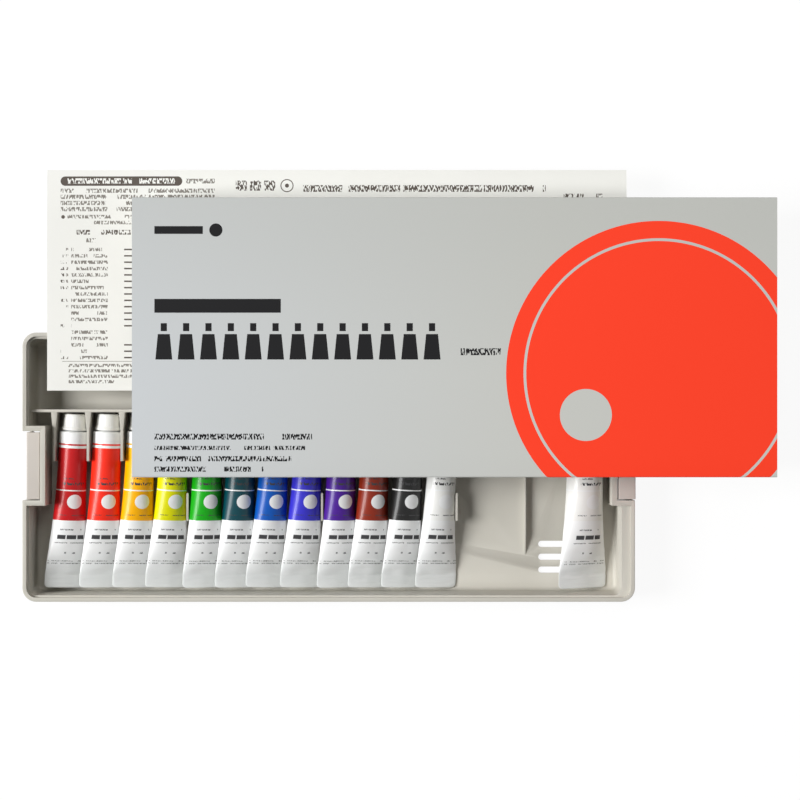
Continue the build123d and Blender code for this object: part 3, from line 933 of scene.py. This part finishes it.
def leaflet_piece(material):
    """Folded leaflet: a thin slab, flat where the sleeve holds it. Past the sleeve's left and
    rear edges its height is a slow wave, and behind it droops as well, both growing with the
    square of the distance."""
    low, high = (np.array(c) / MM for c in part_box("leaflet"))
    held_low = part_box("sleeve")[0] / MM
    held_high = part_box("sleeve")[1] / MM
    nx, ny = 120, 60
    x, y = np.meshgrid(
        np.linspace(low[0], high[0], nx), np.linspace(low[1], high[1], ny), indexing="ij"
    )
    free_left = np.clip((held_low[0] - x) / FREE_LEFT, 0, 1)
    free_rear = np.clip((y - held_high[1]) / FREE_REAR, 0, 1)
    free = np.clip(free_left + free_rear, 0, 1) ** 2
    # heights in millimetres, waves in radians to the millimetre
    lift = free * (0.35 * np.sin(y * 0.045 + 1.0) + 0.25 * np.sin(x * 0.031))
    droop = -REAR_DROOP * np.clip((y - DROOP_FROM) / DROOP_RUN, 0, 1) ** 2 * free
    middle = (low[2] + high[2]) / 2 + lift + droop
    top = np.stack([x, y, middle + LEAFLET_HALF], -1)
    bottom = np.stack([x, y, middle - LEAFLET_HALF], -1)
    points = np.concatenate([top.reshape(-1, 3), bottom.reshape(-1, 3)])
    i, j = np.meshgrid(np.arange(nx - 1), np.arange(ny - 1), indexing="ij")
    cell = np.stack([i * ny + j, (i + 1) * ny + j, (i + 1) * ny + j + 1, i * ny + j + 1], -1)
    cell = cell.reshape(-1, 4)
    edge = np.concatenate(
        [np.arange(nx) * ny, (nx - 1) * ny + np.arange(1, ny),
         (np.arange(nx - 1)[::-1]) * ny + ny - 1, np.arange(1, ny - 1)[::-1]]
    )
    ahead = np.roll(edge, -1)
    wall = np.stack([edge, edge + nx * ny, ahead + nx * ny, ahead], -1)
    faces = np.concatenate([cell, cell[:, ::-1] + nx * ny, wall])
    piece = mesh_piece("leaflet_sheet", "leaflet", points * MM, faces.tolist(), material)
    uv = (points - low)[:, :2]
    uv[nx * ny :] -= BLANK_SIDE
    paint_uv(piece.data, "sheet", uv[faces.ravel()])
    sharpen(piece, 40)
    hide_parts("leaflet")
    return piece


# ------------------------------------------------------------ light and camera


def soft_light(name, place, aim, width, height, watts, code):
    """Rectangular area light at a place, turned to face a point (millimetres)."""
    data = bpy.data.lights.new(name, "AREA")
    data.shape = "RECTANGLE"
    data.size = width * MM
    data.size_y = height * MM
    data.energy = watts
    data.color = linear(code)[:3]
    lamp = bpy.data.objects.new(name, data)
    lamp.location = Vector(place) * MM
    lamp.rotation_euler = (Vector(aim) - Vector(place)).to_track_quat("-Z", "Y").to_euler()
    bpy.context.scene.collection.objects.link(lamp)


def seen_rays(tree):
    """Mask of the rays that show the pale surround: camera, glossy and transmission rays."""
    path = add(tree, "ShaderNodeLightPath")
    kinds = ("Is Camera Ray", "Is Glossy Ray", "Is Transmission Ray")
    return joined(tree, "MAXIMUM", *(path.outputs[kind] for kind in kinds))


def studio():
    """Plain soft light, mostly from a tall panel at the left, and an even pale surround."""
    for name, settings in LAMPS.items():
        soft_light(name, *settings)
    world = bpy.data.worlds.new("surround")
    bpy.context.scene.world = world
    world.use_nodes = True
    tree = world.node_tree
    tree.nodes.clear()
    white = linear("FFFFFF")
    sky = add(tree, "ShaderNodeBackground", {"Color": white, "Strength": SKY_LIGHT})
    seen = add(tree, "ShaderNodeBackground", {"Color": white, "Strength": 1.0})
    mixed = add(
        tree, "ShaderNodeMixShader", {0: seen_rays(tree), 1: sky.outputs[0], 2: seen.outputs[0]}
    )
    add(tree, "ShaderNodeOutputWorld", {"Surface": mixed.outputs[0]})


def floor():
    """White floor just under the set: matt white, lifted for the rays that show it so that it
    reads as white paper while the set's soft shadow stays."""
    half, level = 3.0, -0.2 * MM
    mesh = bpy.data.meshes.new("floor")
    corners = [(-half, -half), (half, -half), (half, half), (-half, half)]
    mesh.from_pydata([(x, y, level) for x, y in corners], [], [(0, 1, 2, 3)])
    material = bpy.data.materials.new("white_floor")
    material.use_nodes = True
    tree = material.node_tree
    tree.nodes.clear()
    matt = add(tree, "ShaderNodeBsdfDiffuse", {"Color": linear("EFEFEF")})
    lifted = add(
        tree, "ShaderNodeEmission", {"Color": linear("FFFFFF"), "Strength": FLOOR_WHITE}
    )
    both = add(
        tree, "ShaderNodeMixShader", {0: FLOOR_LIFT, 1: matt.outputs[0], 2: lifted.outputs[0]}
    )
    chosen = add(
        tree, "ShaderNodeMixShader", {0: seen_rays(tree), 1: matt.outputs[0], 2: both.outputs[0]}
    )
    add(tree, "ShaderNodeOutputMaterial", {"Surface": chosen.outputs[0]})
    mesh.materials.append(material)
    piece = bpy.data.objects.new("floor", mesh)
    bpy.context.scene.collection.objects.link(piece)


def camera():
    """Camera straight above the set, its top to the tray's rear."""
    data = bpy.data.cameras.new("camera")
    data.lens = CAMERA_LENS
    data.sensor_width = 36.0
    eye = bpy.data.objects.new("camera", data)
    eye.location = (CAMERA_X * MM, CAMERA_Y * MM, CAMERA_HEIGHT * MM)
    bpy.context.scene.collection.objects.link(eye)
    bpy.context.scene.camera = eye
    bpy.context.scene.view_settings.view_transform = "Standard"


# ------------------------------------------------------------------- assembly

studio()
floor()
camera()

case_plastic = moulded_styrene("moulded_styrene_case", "C3C0B7", "BEBBB1")
latch_plastic = moulded_styrene("moulded_styrene_latch", "CDC6BF", "C8C1B9")
softened("tray", "tray", case_plastic)
softened("lid", "lid", case_plastic)
for side in ("left", "right"):
    latch_piece(side, latch_plastic)
    grip_ribs(side, latch_plastic)

cap_plastic = satin_polypropylene()
for order, (number, ink) in enumerate(TUBE_COLOURS.items()):
    big = number == "13"
    radius, roll = (BIG_RADIUS, BIG_ROLL) if big else (SMALL_RADIUS, SMALL_ROLL)
    foil = enamelled_foil(f"enamelled_foil_{number}", radius, ink)
    tube_piece(number, radius, roll, foil, 11 + order)
    paint = gouache_paint(f"gouache_{number}", ink)
    paint_piece(number, radius, roll, paint)
    cap_sizes = BIG_CAP if big else SMALL_CAP
    cap_piece(number, *cap_sizes, roll, cap_plastic)

leaflet_piece(leaflet_paper())
sleeve_piece(printed_card(), white_board())
